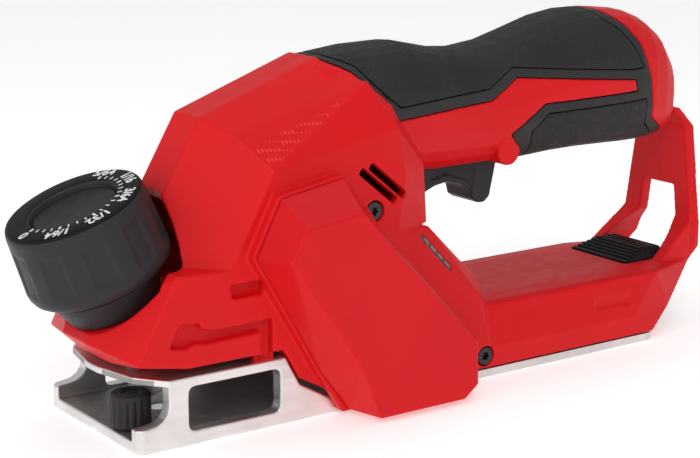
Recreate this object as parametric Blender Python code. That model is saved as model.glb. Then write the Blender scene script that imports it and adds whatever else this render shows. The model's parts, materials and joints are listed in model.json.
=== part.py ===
"""Compact cordless hand planer, built as an assembly of separate pieces.

Drawn in millimetres and scaled to metres as each mesh is made. +X is the cutting direction, +Y is the
belt-cover side, +Z is up. The sole lies on z = 0 and its centre line on y = 0.
"""
import math

import bmesh
import bpy
from mathutils import Matrix, Vector

MM = 0.001
GAP = 0.35  # space kept between neighbouring pieces that would touch
SPLIT_GAP = 0.16  # each housing half stops this far from the centre plane

# ---- driving dimensions, in millimetres ----
SOLE_HALF = 30.0
SOLE_FRONT = 125.0
SOLE_REAR = -92.0
MOUTH_FRONT = 43.0
MOUTH_REAR = 12.0
SHOE_THICK = 2.7
WALL = 2.8

KNOB_TILT = math.radians(22.0)
KNOB_FOOT = Vector((121.3, 0.0, 53.1))  # centre of the knob's lower rim
KNOB_RADIUS = 23.3
KNOB_HEIGHT = 22.6
KNOB_AXIS = Vector((math.sin(KNOB_TILT), 0.0, math.cos(KNOB_TILT)))
COLLAR_DEPTH = 14.0

CUTTER = (28.0, 19.3)  # x and z of the cutter axis
CUT_RADIUS = 19.2
DRUM_RADIUS = 17.6
CUT_HALF = 25.4
MOTOR = (60.0, 56.0)  # x and z of the motor axis
STATOR_RADIUS = 20.5
BELT_Y = (36.0, 43.2)
SHAFT_END = 44.5
DRIVE_RADIUS = 7.0
DRIVEN_RADIUS = 12.0

PLATE_Y = 34.0
COVER_Y = 48.6
TRIGGER_PIVOT = Vector((1.0, 0.0, 75.5))
FENCE_KNOB = (118.5, 13.0)

RED = ("red_plastic", (0.62, 0.012, 0.018), 0.38, 0.0)
RUBBER = ("charcoal_rubber", (0.035, 0.034, 0.036), 0.75, 0.0)
NYLON = ("charcoal_nylon", (0.045, 0.044, 0.048), 0.5, 0.0)
BLACK = ("black_plastic", (0.012, 0.012, 0.013), 0.45, 0.0)
ALUMINIUM = ("cast_aluminium", (0.78, 0.77, 0.75), 0.42, 1.0)
STEEL = ("steel", (0.5, 0.5, 0.52), 0.3, 1.0)
BLACK_STEEL = ("black_steel", (0.05, 0.05, 0.055), 0.35, 1.0)
COPPER = ("copper_windings", (0.55, 0.24, 0.1), 0.4, 1.0)
BELT = ("belt_rubber", (0.01, 0.01, 0.01), 0.8, 0.0)
BOARD = ("circuit_board", (0.02, 0.18, 0.07), 0.55, 0.0)
LENS = ("smoked_lens", (0.05, 0.045, 0.045), 0.12, 0.0)
GREY = ("grey_plastic", (0.3, 0.31, 0.33), 0.5, 0.0)


# ---- helpers ----
def clear_scene():
    for obj in list(bpy.data.objects):
        bpy.data.objects.remove(obj, do_unlink=True)


def material(look):
    name, colour, roughness, metallic = look
    mat = bpy.data.materials.get(name)
    if mat is None:
        mat = bpy.data.materials.new(name)
        mat.use_nodes = True
        shader = mat.node_tree.nodes["Principled BSDF"]
        shader.inputs["Base Color"].default_value = (*colour, 1.0)
        shader.inputs["Roughness"].default_value = roughness
        shader.inputs["Metallic"].default_value = metallic
        mat.diffuse_color = (*colour, 1.0)
    return mat


def finish_mesh(name, bm, look):
    bmesh.ops.recalc_face_normals(bm, faces=bm.faces)
    mesh = bpy.data.meshes.new(name)
    bm.to_mesh(mesh)
    bm.free()
    obj = bpy.data.objects.new(name, mesh)
    bpy.context.collection.objects.link(obj)
    if look:
        mesh.materials.append(material(look))
    return obj


def skin(name, loops, look=None):
    """A closed solid through loops of equal length, capped at both ends."""
    bm = bmesh.new()
    rings = [[bm.verts.new(Vector(p) * MM) for p in loop] for loop in loops]
    for low, high in zip(rings, rings[1:]):
        for i, corner in enumerate(low):
            j = (i + 1) % len(low)
            bm.faces.new((corner, low[j], high[j], high[i]))
    bm.faces.new(rings[0])
    bm.faces.new(rings[-1])
    bmesh.ops.triangulate(bm, faces=[f for f in bm.faces if is_twisted(f)])
    return finish_mesh(name, bm, look)


def is_twisted(face):
    """Whether a four-sided face bends across its diagonal."""
    if len(face.verts) != 4:
        return False
    a, b, c, d = (v.co for v in face.verts)
    normal = (b - a).cross(c - a)
    return abs((d - a).dot(normal)) > 0.002 * MM * max(normal.length, 1e-12)


def prism_y(name, outline, y0, y1, look=None):
    return skin(name, [[(x, y, z) for x, z in outline] for y in (y0, y1)], look)


def prism_z(name, outline, z0, z1, look=None):
    return skin(name, [[(x, y, z) for x, y in outline] for z in (z0, z1)], look)


def box(name, low, high, look=None):
    corners = [(low[0], low[1]), (high[0], low[1]), (high[0], high[1]), (low[0], high[1])]
    return prism_z(name, corners, low[2], high[2], look)


def lathe(name, base, axis, profile, segments, look=None):
    """Turn a profile of (radius, height) points about an axis. It closes on itself unless it ends on the axis."""
    axis = Vector(axis).normalized()
    side = axis.orthogonal().normalized()
    other = axis.cross(side)
    bm = bmesh.new()
    rings = []
    for radius, height in profile:
        centre = Vector(base) + axis * height
        if radius == 0:
            rings.append([bm.verts.new(centre * MM)])
            continue
        angles = [2 * math.pi * k / segments for k in range(segments)]
        ring = [centre + (side * math.cos(a) + other * math.sin(a)) * radius for a in angles]
        rings.append([bm.verts.new(p * MM) for p in ring])
    pairs = list(zip(rings, rings[1:]))
    if len(rings[0]) > 1 and len(rings[-1]) > 1:
        pairs.append((rings[-1], rings[0]))
    for low, high in pairs:
        for i in range(segments):
            j = (i + 1) % segments
            corners = [low[i % len(low)], low[j % len(low)], high[j % len(high)], high[i % len(high)]]
            unique = list(dict.fromkeys(corners))
            bm.faces.new(unique)
    return finish_mesh(name, bm, look)


def rod(name, start, end, radius, segments=20, look=None):
    start, end = Vector(start), Vector(end)
    length = (end - start).length
    profile = [(0, 0), (radius, 0), (radius, length), (0, length)]
    return lathe(name, start, end - start, profile, segments, look)


def rod_y(name, centre, y0, y1, radius, segments=20, look=None):
    return rod(name, (centre[0], y0, centre[1]), (centre[0], y1, centre[1]), radius, segments, look)


def ring_y(name, centre, y0, y1, inner, outer, segments=28, look=None):
    profile = [(inner, 0), (outer, 0), (outer, y1 - y0), (inner, y1 - y0)]
    return lathe(name, (centre[0], y0, centre[1]), (0, 1, 0), profile, segments, look)


def coil(name, start, axis, radius, wire, turns, pitch, look):
    """A helical spring as a swept tube."""
    axis = Vector(axis).normalized()
    side = axis.orthogonal().normalized()
    other = axis.cross(side)
    steps_per_turn, wire_sides = 10, 6
    loops = []
    for k in range(turns * steps_per_turn + 1):
        angle = 2 * math.pi * k / steps_per_turn
        out = side * math.cos(angle) + other * math.sin(angle)
        centre = Vector(start) + out * radius + axis * pitch * k / steps_per_turn
        spokes = [2 * math.pi * s / wire_sides for s in range(wire_sides)]
        loops.append([centre + (out * math.cos(a) + axis * math.sin(a)) * wire for a in spokes])
    return skin(name, loops, look)


def combine(target, tool, operation):
    modifier = target.modifiers.new("combine", "BOOLEAN")
    modifier.operation = operation
    modifier.solver = "EXACT"
    modifier.object = tool
    depsgraph = bpy.context.evaluated_depsgraph_get()
    result = bpy.data.meshes.new_from_object(target.evaluated_get(depsgraph))
    target.modifiers.clear()
    target.data = result
    bpy.data.objects.remove(tool, do_unlink=True)
    weld(result)


def weld(mesh):
    """Close the hairline slivers that a boolean leaves and join its flat faces."""
    bm = bmesh.new()
    bm.from_mesh(mesh)
    bmesh.ops.remove_doubles(bm, verts=bm.verts, dist=0.02 * MM)
    bmesh.ops.dissolve_degenerate(bm, dist=0.005 * MM, edges=bm.edges)
    bmesh.ops.dissolve_limit(bm, angle_limit=math.radians(0.05), verts=bm.verts, edges=bm.edges)
    bm.to_mesh(mesh)
    bm.free()


def cut(target, *tools):
    for tool in tools:
        combine(target, tool, "DIFFERENCE")


def add(target, *tools):
    for tool in tools:
        combine(target, tool, "UNION")


def keep(target, tool):
    combine(target, tool, "INTERSECT")


def inset(outline, distance):
    """Move each edge of a closed outline inwards by a distance."""
    area = sum(a[0] * b[1] - b[0] * a[1] for a, b in zip(outline, outline[1:] + outline[:1]))
    turn = 1 if area > 0 else -1
    moved = []
    count = len(outline)
    for i in range(count):
        before, here, after = (Vector(outline[(i + k) % count]) for k in (-1, 0, 1))
        first = (here - before).normalized()
        second = (after - here).normalized()
        n1 = Vector((-first.y, first.x)) * turn
        n2 = Vector((-second.y, second.x)) * turn
        mitre = (n1 + n2) / max(1 + n1.dot(n2), 0.4)
        moved.append(tuple(here + mitre * distance))
    return moved


def rounded(outline, radius, steps=3):
    """Replace each corner of an outline by a short arc."""
    out = []
    count = len(outline)
    for i in range(count):
        before, here, after = (Vector(outline[(i + k) % count]) for k in (-1, 0, 1))
        to_before = (before - here).normalized()
        to_after = (after - here).normalized()
        half = to_before.angle(to_after) / 2
        reach = min(radius / math.tan(half), (before - here).length * 0.45, (after - here).length * 0.45)
        start, end = here + to_before * reach, here + to_after * reach
        for k in range(steps + 1):
            t = k / steps
            out.append(tuple((1 - t) ** 2 * start + 2 * t * (1 - t) * here + t * t * end))
    return out


def rectangle(x0, x1, z0, z1):
    return [(x0, z0), (x1, z0), (x1, z1), (x0, z1)]


def set_origin(obj, point):
    point = Vector(point)
    obj.data.transform(Matrix.Translation(-point * MM))
    obj.location = point * MM


def hull(name, points):
    """The smallest convex solid round a set of points."""
    bm = bmesh.new()
    for point in points:
        bm.verts.new(Vector(point) * MM)
    made = bmesh.ops.convex_hull(bm, input=bm.verts)
    unused = made["geom_interior"] + made["geom_unused"]
    spare = {item for item in unused if isinstance(item, bmesh.types.BMVert)}
    bmesh.ops.delete(bm, geom=list(spare), context="VERTS")
    bmesh.ops.dissolve_limit(bm, angle_limit=math.radians(0.3), verts=bm.verts, edges=bm.edges)
    return finish_mesh(name, bm, None)


# ---- housing shapes ----
# Corners of one half of each faceted block: x, distance from the centre plane, z.
HEAD = [
    (88.7, 7.8, 97.9), (45, 7.8, 113.5), (20, 7.8, 114.5), (82.2, 17, 93), (79.5, 21.7, 89.4),
    (34.5, 21.8, 105.3), (75, 29.8, 82.4), (27.5, 29.9, 92.2), (24, 29.9, 76), (26.8, 30, 57.5),
    (10.5, 22, 76), (9.2, 22, 56.5), (120.7, 7.8, 44), (110.3, 17, 44), (96.4, 30, 44),
]
BASE = [
    (60, 30, 58), (26.8, 30, 58), (8.4, 22, 55), (-5.9, 22, 40), (-9, 30, 28.4), (-13, 22, 33.6),
    (-13, 27, 26), (-13, 30, 10.5), (-13, 29.4, 3.1), (50, 29.4, 6.5), (72, 30, 24), (96, 30, 24), (96, 30, 50),
]
NOSE = [
    (110.2, 30, 54.2), (91.2, 30, 53.6), (78, 30, 44), (78, 30, 24), (124.3, 30, 27.9), (103.2, 30, 24),
    (123.2, 8.2, 24), (131, 7.7, 31.5), (126.5, 7.7, 40.7), (112, 7.7, 54),
]
NOSE_ROOM = [(x, y, z) for x, top in ((82, 38), (112, 33)) for y in (10, 27) for z in (20, top)]
TRIGGER_BOSS = (-30.5, 75.6)  # x and z of the round boss behind the trigger
BLOCK_OVERLAP = 3.0  # each half is drawn this far past the centre plane, then trimmed


def block(name, corners, side, shrink=0.0):
    """One half of a faceted block; with shrink, the space inside its walls."""
    middle = Vector([sum(c[i] for c in corners) / len(corners) for i in range(3)])
    middle.y = 0
    points = []
    for x, y, z in corners:
        corner = Vector((x, y, z))
        corner -= Vector([math.copysign(min(shrink, abs(reach)), reach) for reach in corner - middle])
        points.append((corner.x, side * corner.y, corner.z))
        points.append((corner.x, -side * BLOCK_OVERLAP, corner.z))
    return hull(name, points)


# Handle: x, top, bottom and half width of each section.
HANDLE = [
    (46, 113.4, 86, 16.5), (25, 115.4, 74, 23), (9, 115.9, 70.5, 21.5), (-7.5, 112.4, 70, 19.5),
    (-20, 111.5, 70, 18.5), (-32.5, 113, 69.8, 18.5), (-45, 116.4, 70.2, 19), (-58, 120, 71, 20),
    (-70, 121.8, 71.2, 20.5), (-82, 121.9, 71, 20.3), (-92, 120.8, 70.7, 19.6), (-100, 117.8, 70.7, 18.6),
    (-107.5, 112.8, 71, 16.6), (-114, 104.5, 72.3, 13.6), (-118.5, 94, 76.3, 9),
]


def handle_half(side, shrink, last=None, start=0, flat=-3.0):
    """One half of the handle, with its surface moved in by shrink."""
    loops = []
    for x, top, bottom, half in HANDLE[start:last]:
        middle, rise = (top + bottom) / 2, (top - bottom) / 2 - shrink
        loop = [(x, side * flat, middle + rise), (x, side * flat, middle - rise)]
        for k in range(1, 12):
            angle = -math.pi / 2 + math.pi * k / 12
            across = (half - shrink) * abs(math.cos(angle)) ** (2 / 2.6)
            up = rise * math.copysign(abs(math.sin(angle)) ** (2 / 2.6), math.sin(angle))
            loop.append((x, side * max(across, 0.3), middle + up))
        loops.append(loop)
    return skin("handle_half", loops)


GRIP_OUTLINE = [
    (45, 126), (43.7, 113), (36, 109), (33, 104.5), (28.5, 99.5), (21, 92.3), (-22, 94.5), (-33.5, 101.5),
    (-88, 96.5), (-90, 91.8), (-46, 91),
    (-32, 81.5), (-36, 75.6), (-38, 60), (-119, 60), (-118, 71.5), (-110.5, 74.5), (-99.2, 81), (-97.8, 90),
    (-96, 98), (-91.5, 108.5), (-86, 115.5), (-79, 121), (-72, 128),
]


def grip_shell(side, grow, depth, centre_gap, look=None, name="grip"):
    """A rubber skin over the handle, or with grow the pocket that it lies in."""
    shell = handle_half(side, -grow, last=14, flat=centre_gap)
    shell.name = name
    if look:
        shell.data.materials.append(material(look))
    window = prism_y("window", inset(GRIP_OUTLINE, -grow * 0.25), side * (centre_gap - 1), side * 40)
    keep(shell, window)
    cut(shell, handle_half(side, depth, flat=-9.0))
    return shell


def arm_half(side):
    """The lower arm that carries the battery, with its sloped and narrowed rear end."""
    section = [(-3, 3.1), (-3, 26.2), (18, 26.2), (24.5, 25.6), (27, 24.8), (30, 10.5), (29.4, 3.1)]
    front = [(-6, side * y, z) for y, z in section]
    full = [(-74.3 - 0.95 * (z - 3.1), side * y, z) for y, z in section]
    rear = []
    for y, z in section:
        narrow = 1 - 0.36 * (z - 3.1) / 25 if y > 0 else 1
        rear.append((-91.9 - 1.325 * (z - 3.1), side * y * narrow, z))
    return skin("arm_half", [front, full, rear])


BAY_FLOOR, BAY_TOP = 5.3, 23.1
BAY_HALF = 16.9


def arm_bay(side):
    """The battery bay, open to the rear."""
    low, high = sorted((side * BAY_HALF, -side * 8))
    return box("bay", (-140, low, BAY_FLOOR), (-14, high, BAY_TOP))


# Side view of the rear guard with the distance of each corner from the centre plane.
GUARD = [
    (-102.5, 19.6, 25.5), (-121, 18.1, 39.5), (-121.3, 12.5, 76), (-116, 11.5, 82), (-119.5, 11.5, 82),
    (-126.4, 12.6, 74.4), (-125.6, 18.1, 38.5), (-125.7, 18.3, 28.6), (-120, 19, 24.5), (-104, 20, 24.5),
]
GUARD_WINDOW = [(8, 51.6), (9.6, 38.8), (12.9, 34.2), (15.3, 28.6), (15.3, 20), (-15.3, 20), (-15.3, 28.6),
                (-12.9, 34.2), (-9.6, 38.8), (-8, 51.6)]


def guard_half(side):
    """Half of the guard that joins the handle to the arm, with half of its window."""
    loops = [[(x, -side * BLOCK_OVERLAP, z) for x, _, z in GUARD], [(x, side * y, z) for x, y, z in GUARD]]
    guard = skin("guard", loops)
    cut(guard, skin("window", [[(x, y, z) for y, z in GUARD_WINDOW] for x in (-135, -95)]))
    return guard


COVER_BASE = [
    (85, 57), (75.5, 75), (52, 79), (33, 56), (-3.7, 15.4), (-3, 6), (4, 1.6), (50, 1.6), (61, 16),
]
COVER_FACE = [
    (80.7, 57.3), (75.2, 67.4), (54.3, 70.3), (40, 54.3), (8, 21), (7.5, 6), (13, 1.8), (47, 1.8), (55, 21),
]
SHOE_ROOM = [(-20, -5), (-20, 3.1), (46, 3.1), (50, 6.4), (72, 24.6), (140, 24.6), (140, -5)]
# x, z and reach from the centre plane of each screw boss
SCREW_BOSSES = [(74, 84, 21.5), (-36, 92.5, 14.5), (-100, 92.5, 14.5), (20, 63, 24)]
COVER_SCREWS = [(36.5, 65.0), (-11.3, 7.6)]
COVER_SCREW_SEAT = 26.9  # y of the floor of each recess


def housing_half(name, side):
    half = block("head", HEAD, side)
    half.name = name
    half.data.materials.append(material(RED))
    add(half, block("base", BASE, side), block("nose", NOSE, side))
    cut(half, prism_y("shoe_room", SHOE_ROOM, -side * 7, side * 35))
    cut(half, hull("nose_room", [(x, side * y, z) for x, y, z in NOSE_ROOM]))
    add(half, handle_half(side, 0.0), arm_half(side), guard_half(side))
    add(half, rod_y("boss", TRIGGER_BOSS, side * 2, side * 17.3, 4.9, 24))
    if side > 0:
        plate = inset(COVER_BASE, -0.6)
        plate[5:8] = [(-4, 3.2), (3, 1.0), (52, 1.0)]
        plate = prism_y("plate", plate, 29, PLATE_Y)
        cut(plate, prism_y("shoe_room", SHOE_ROOM, 20, SOLE_HALF + GAP))
        add(half, plate)
    cut(half, block("head_room", HEAD, side, WALL), block("base_room", BASE, side, WALL))
    cut(half, handle_half(side, 5.6, last=12, start=2, flat=-6.0), arm_bay(side))
    cut(half, grip_shell(side, 1.2, 2.85, -7.0))
    cut_openings(half, side)
    add_bosses(half, side)
    low, high = sorted((side * SPLIT_GAP, -side * 60))
    cut(half, box("trim", (-300, low, -20), (300, high, 200)))


def cut_openings(half, side):
    floor, wide = -COLLAR_DEPTH - GAP, KNOB_RADIUS + 3
    scoop = [(0, floor), (16.8, floor), (wide, -6), (wide, 60), (0, 60)]
    cut(half, lathe("scoop", KNOB_FOOT, KNOB_AXIS, scoop, 40))
    cut(half, rod("bore", KNOB_FOOT - KNOB_AXIS * 60, KNOB_FOOT, 4.2, 20))
    cut(half, rod("spring_well", KNOB_FOOT - KNOB_AXIS * 60, KNOB_FOOT - KNOB_AXIS * 15.2, 6.6, 24))
    mouth = [(MOUTH_REAR, -5), (MOUTH_REAR, 20), (47, 20), (47, -5)]
    cut(half, prism_y("mouth", mouth, -side * 7, side * (30 - WALL)))
    cut(half, rod_y("chamber", CUTTER, -side * 8, side * (30 - WALL - 0.1), 22.4, 40))
    trigger_slot = rectangle(-35.5, 4.2, 60, 84)
    cut(half, prism_y("trigger_slot", trigger_slot, -side * 4, side * 8.2))
    latch_slot = rectangle(-140, -89.9, 19, 28.5)
    cut(half, prism_y("latch_slot", latch_slot, -side * 4, side * 15.3))
    if side > 0:
        slot = [(39, 79.3), (37.4, 81.3), (23.3, 69.7), (24.9, 67.7)]
        for forward, down in ((0, 0), (3.9, 1.2)):
            cut(half, prism_y("vent", [(x + forward, z - down) for x, z in slot], 20, 45))
        lens_bed = box("lens_bed", (-8.4, -1.6, -4), (8.4, 1.6, 4))
        place_on_gauge(lens_bed)
        cut(half, lens_bed)
        add(half, rod_y("recess_wall", COVER_SCREWS[0], 18, 29.9, 5.4, 20))
        for centre in COVER_SCREWS:
            cut(half, rod_y("recess", centre, COVER_SCREW_SEAT, 60, 3.7, 20))
            cut(half, rod_y("shank_way", centre, COVER_SCREW_SEAT - 8.2, 40, 1.85, 12))
    else:
        for k in range(5):
            x = 40 + 7 * k
            slot = rounded(rectangle(x, x + 3, 50 - k, 74 - k), 1.4, 2)
            cut(half, prism_y("intake", slot, -20, -45))


def place_on_gauge(obj):
    """Lay a piece drawn around the origin into the sloped facet behind the belt cover."""
    direction = Vector((0.646, -0.141, 0.75)).normalized()
    normal = Vector((-0.413, 0.762, 0.499))
    normal = (normal - direction * normal.dot(direction)).normalized()
    across = normal.cross(direction)
    turn = Matrix((direction, across, normal)).transposed().to_4x4()
    obj.data.transform(Matrix.Translation(Vector((9.7, 26.0, 46.1)) * MM) @ turn)


def add_bosses(half, side):
    """Bearing seats and screw bosses that stand inside the wall."""
    if side > 0:
        add(half, rod_y("seat", CUTTER, 26.2, PLATE_Y, 10.5, 28), rod_y("seat", MOTOR, 23, PLATE_Y, 12.5, 28))
        cut(half, rod_y("bore", CUTTER, 25, 31.2, 7.5 + 0.05, 28), rod_y("bore", MOTOR, 22, 30.2, 9.55, 28))
        cut(half, rod_y("way", CUTTER, 25, 40, 4.2, 20), rod_y("way", MOTOR, 22, 40, 5.0, 20))
    else:
        add(half, rod_y("seat", CUTTER, -29.8, -25.75, 9.5, 28), rod_y("seat", MOTOR, -29.5, -21.5, 9.5, 28))
        cut(half, rod_y("bore", CUTTER, -29.3, -25, 6.55, 28), rod_y("bore", MOTOR, -27.2, -21, 7.05, 28))
    for x, z, reach in SCREW_BOSSES:
        outer = side * reach
        add(half, rod_y("boss", (x, z), -side, outer, 4.2, 16))
        if side < 0:
            cut(half, rod_y("head_way", (x, z), outer - side * 3.6, side * 45, 3.6, 16))
            cut(half, rod_y("shank_way", (x, z), 2, side * 40, 1.85, 12))
        else:
            cut(half, rod_y("pilot", (x, z), -2, 9.4, 1.85, 12))


def build_housing():
    housing_half("housing_left", 1)
    housing_half("housing_right", -1)
    for side, name in ((1, "grip_left"), (-1, "grip_right")):
        grip_shell(side, 0.0, 2.5, 0.2, RUBBER, name)
    for i, (x, z, reach) in enumerate(SCREW_BOSSES, 1):
        shank = 9.0 + reach - 3.4
        lathe(f"housing_screw_{i}", (x, 9.0, z), (0, -1, 0), screw_profile(shank), 16, BLACK_STEEL)


def screw_profile(shank):
    """A plain shank with a pan head on its far end."""
    return [(0, 0), (1.5, 0), (1.5, shank), (3.1, shank), (3.1, shank + 2.4), (0, shank + 2.4)]


def build_cover():
    """Belt cover: an open shell with sloped sides."""
    outer = [[(x, y, z) for x, z in line] for line, y in ((COVER_BASE, PLATE_Y + GAP), (COVER_FACE, COVER_Y))]
    cover = skin("belt_cover", outer, RED)
    inner = []
    for line, y in ((COVER_BASE, PLATE_Y - 1), (COVER_FACE, COVER_Y - 2.2)):
        inner.append([(x, y, z) for x, z in inset(line, 2.2)])
    cut(cover, skin("cover_inside", inner))
    cut(cover, rod_y("recess", COVER_SCREWS[0], 30, 60, 4.6, 20))
    for i, (x, z) in enumerate(COVER_SCREWS, 1):
        tip = COVER_SCREW_SEAT - 7.9
        lathe(f"cover_screw_{i}", (x, tip, z), (0, 1, 0), screw_profile(8.0), 16, BLACK_STEEL)


# ---- soles and depth setting ----
WINDOW = (73.5, 107.2, 4.4, 18.8)
PLATE_TOP = 22.0
POST_X = 114.0


def build_rear_shoe():
    plan = rounded([(MOUTH_REAR, -29.4), (MOUTH_REAR, 29.4), (SOLE_REAR, 29.4), (SOLE_REAR, -29.4)], 2.5)
    shoe = prism_z("rear_shoe", plan, 0, SHOE_THICK, ALUMINIUM)
    for i, (x, y) in enumerate(((-2, -20), (-2, 20), (-76, -20), (-76, 20)), 1):
        cut(shoe, lathe("sink", (x, y, -0.5), (0, 0, 1), [(0, 0), (4.3, 0), (2.2, 2.9), (2.2, 5), (0, 5)], 20))
        for half in ("housing_left", "housing_right"):
            if (y > 0) == half.endswith("left"):
                cut(bpy.data.objects[half], rod("pilot", (x, y, 2), (x, y, 5.2), 1.9, 12))
        profile = [(0, 0.15), (3.2, 0.15), (1.5, 1.95), (1.5, 4.9), (0, 4.9)]
        lathe(f"rear_shoe_screw_{i}", (x, y, 0), (0, 0, 1), profile, 16, STEEL)


def shoe_wall_outline():
    """Side view of a front-shoe wall: low lip, rise with an inside curve, bridge post, sloped tail."""
    curve = []
    for k in range(5):
        angle = math.pi / 2 * k / 4
        curve.append((POST_X + 6.5 * (1 - math.sin(angle)), 8.0 + 5.5 * (1 - math.cos(angle))))
    return [(MOUTH_FRONT + 8, 0), (SOLE_FRONT, 0), (SOLE_FRONT, 7.6), *curve, (POST_X, PLATE_TOP),
            (71.5, PLATE_TOP), (66, 12), (MOUTH_FRONT + 8, 3.5)]


def build_front_shoe():
    floor_plan = [(MOUTH_FRONT + 8, -30), (SOLE_FRONT - 3, -30), (SOLE_FRONT, -27), (SOLE_FRONT, 27),
                  (SOLE_FRONT - 3, 30), (MOUTH_FRONT + 8, 30), (MOUTH_FRONT + 8, 26.6), (MOUTH_FRONT, 26.6),
                  (MOUTH_FRONT, -26.6), (MOUTH_FRONT + 8, -26.6)]
    shoe = prism_z("front_shoe", floor_plan, 0, 3.5, ALUMINIUM)
    for side in (1, -1):
        wall = prism_y("wall", shoe_wall_outline(), side * 25.2, side * SOLE_HALF)
        add(shoe, wall)
        cut(shoe, prism_y("window", rounded(rectangle(*WINDOW), 2.6), side * 20, side * 40))
        corner = [(SOLE_FRONT - 3, side * 31), (SOLE_FRONT + 1, side * 31), (SOLE_FRONT + 1, side * 27)]
        cut(shoe, prism_z("corner", corner, -1, 10))
    bridge = [(71.5, -30), (POST_X, -30), (121.5, -20), (125.0, -3), (125.0, 3), (121.5, 20), (POST_X, 30),
              (71.5, 30)]
    add(shoe, prism_z("bridge", bridge, PLATE_TOP - 2.2, PLATE_TOP))
    nut_top = KNOB_FOOT + KNOB_AXIS * ((PLATE_TOP - 0.6 - KNOB_FOOT.z) / KNOB_AXIS.z)
    add(shoe, rod("nut", nut_top - KNOB_AXIS * 12, nut_top, 6.2, 24))
    cut(shoe, box("nut_trim", (POST_X - 20, -12, PLATE_TOP + 0.15), (POST_X + 10, 12, PLATE_TOP + 10)))
    cut(shoe, rod("thread", nut_top - KNOB_AXIS * 30, nut_top + KNOB_AXIS * 5, 3.3, 20))
    groove = [(2.2, -0.01), (-2.2, -0.01), (0, 2.2)]
    cut(shoe, skin("vee", [[(x, y, z) for y, z in groove] for x in (70, 130)]))
    fence_x, fence_y = FENCE_KNOB
    cut(shoe, rod("fence_thread", (fence_x, fence_y, 1.4), (fence_x, fence_y, 8), 2.3, 16))
    set_origin(shoe, KNOB_FOOT)


def build_depth_knob():
    """Knob with finger flutes, a dished top, a lower collar and its lead screw."""
    top = KNOB_HEIGHT
    profile = [(0, -4.0), (19.6, -4.0), (22.4, -2.2), (KNOB_RADIUS + 0.5, 0.4), (KNOB_RADIUS - 0.6, top - 1.2),
               (KNOB_RADIUS - 1.8, top), (15.6, top), (15.0, top - 3), (0, top - 3)]
    knob = lathe("depth_knob", KNOB_FOOT, KNOB_AXIS, profile, 48, NYLON)
    side = Vector((0, 1, 0))
    forward = side.cross(KNOB_AXIS)
    for k in range(9):
        angle = 2 * math.pi * k / 9
        centre = KNOB_FOOT + (side * math.cos(angle) + forward * math.sin(angle)) * (KNOB_RADIUS + 6.4)
        cut(knob, rod("flute", centre - KNOB_AXIS * 1, centre + KNOB_AXIS * (KNOB_HEIGHT - 6), 7.4, 20))
    cut(knob, rod("socket", KNOB_FOOT - KNOB_AXIS * 6, KNOB_FOOT + KNOB_AXIS * 10, 3.05 + GAP, 20))
    collar = [(8, -COLLAR_DEPTH), (15.4, -COLLAR_DEPTH), (15.9, -11.7), (19.2, -4.0 - GAP), (8, -4.0 - GAP)]
    lathe("depth_collar", KNOB_FOOT, KNOB_AXIS, collar, 48, BLACK)
    dial = [(0, KNOB_HEIGHT - 3 + GAP), (14.6, KNOB_HEIGHT - 3 + GAP), (14.6, KNOB_HEIGHT - 1.4),
            (0, KNOB_HEIGHT - 1.4)]
    lathe("depth_dial_cap", KNOB_FOOT, KNOB_AXIS, dial, 40, NYLON)
    screw = [(0, -46), (3.0, -46), (3.0, 9.6), (0, 9.6)]
    lathe("depth_screw", KNOB_FOOT, KNOB_AXIS, screw, 20, STEEL)
    for name in ("depth_knob", "depth_collar", "depth_dial_cap", "depth_screw"):
        set_origin(bpy.data.objects[name], KNOB_FOOT)
    spring_start = KNOB_FOOT - KNOB_AXIS * 25.4
    coil("depth_spring", spring_start, KNOB_AXIS, 5.4, 0.5, 5, 1.9, STEEL)


def build_fence_lock():
    x, y = FENCE_KNOB
    profile = [(0, 4.4), (6.0, 4.4), (6.6, 5.2), (6.6, 14.4), (5.8, 15.2), (0, 15.2)]
    knob = lathe("fence_lock_knob", (x, y, 0), (0, 0, 1), profile, 32, NYLON)
    for k in range(8):
        angle = 2 * math.pi * k / 8
        centre = Vector((x + 7.6 * math.cos(angle), y + 7.6 * math.sin(angle), 0))
        cut(knob, rod("rib", centre + Vector((0, 0, 3)), centre + Vector((0, 0, 17)), 1.5, 12))
    cut(knob, rod("socket", (x, y, 3), (x, y, 9.35), 2.0 + GAP, 16))
    rod("fence_lock_stud", (x, y, 1.8), (x, y, 9.0), 2.0, 16, STEEL)
    for name in ("fence_lock_knob", "fence_lock_stud"):
        set_origin(bpy.data.objects[name], (x, y, 9.0))


# ---- cutter and drive ----
def polar(centre, radius, angle):
    return (centre[0] + radius * math.cos(angle), centre[1] + radius * math.sin(angle))


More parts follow.
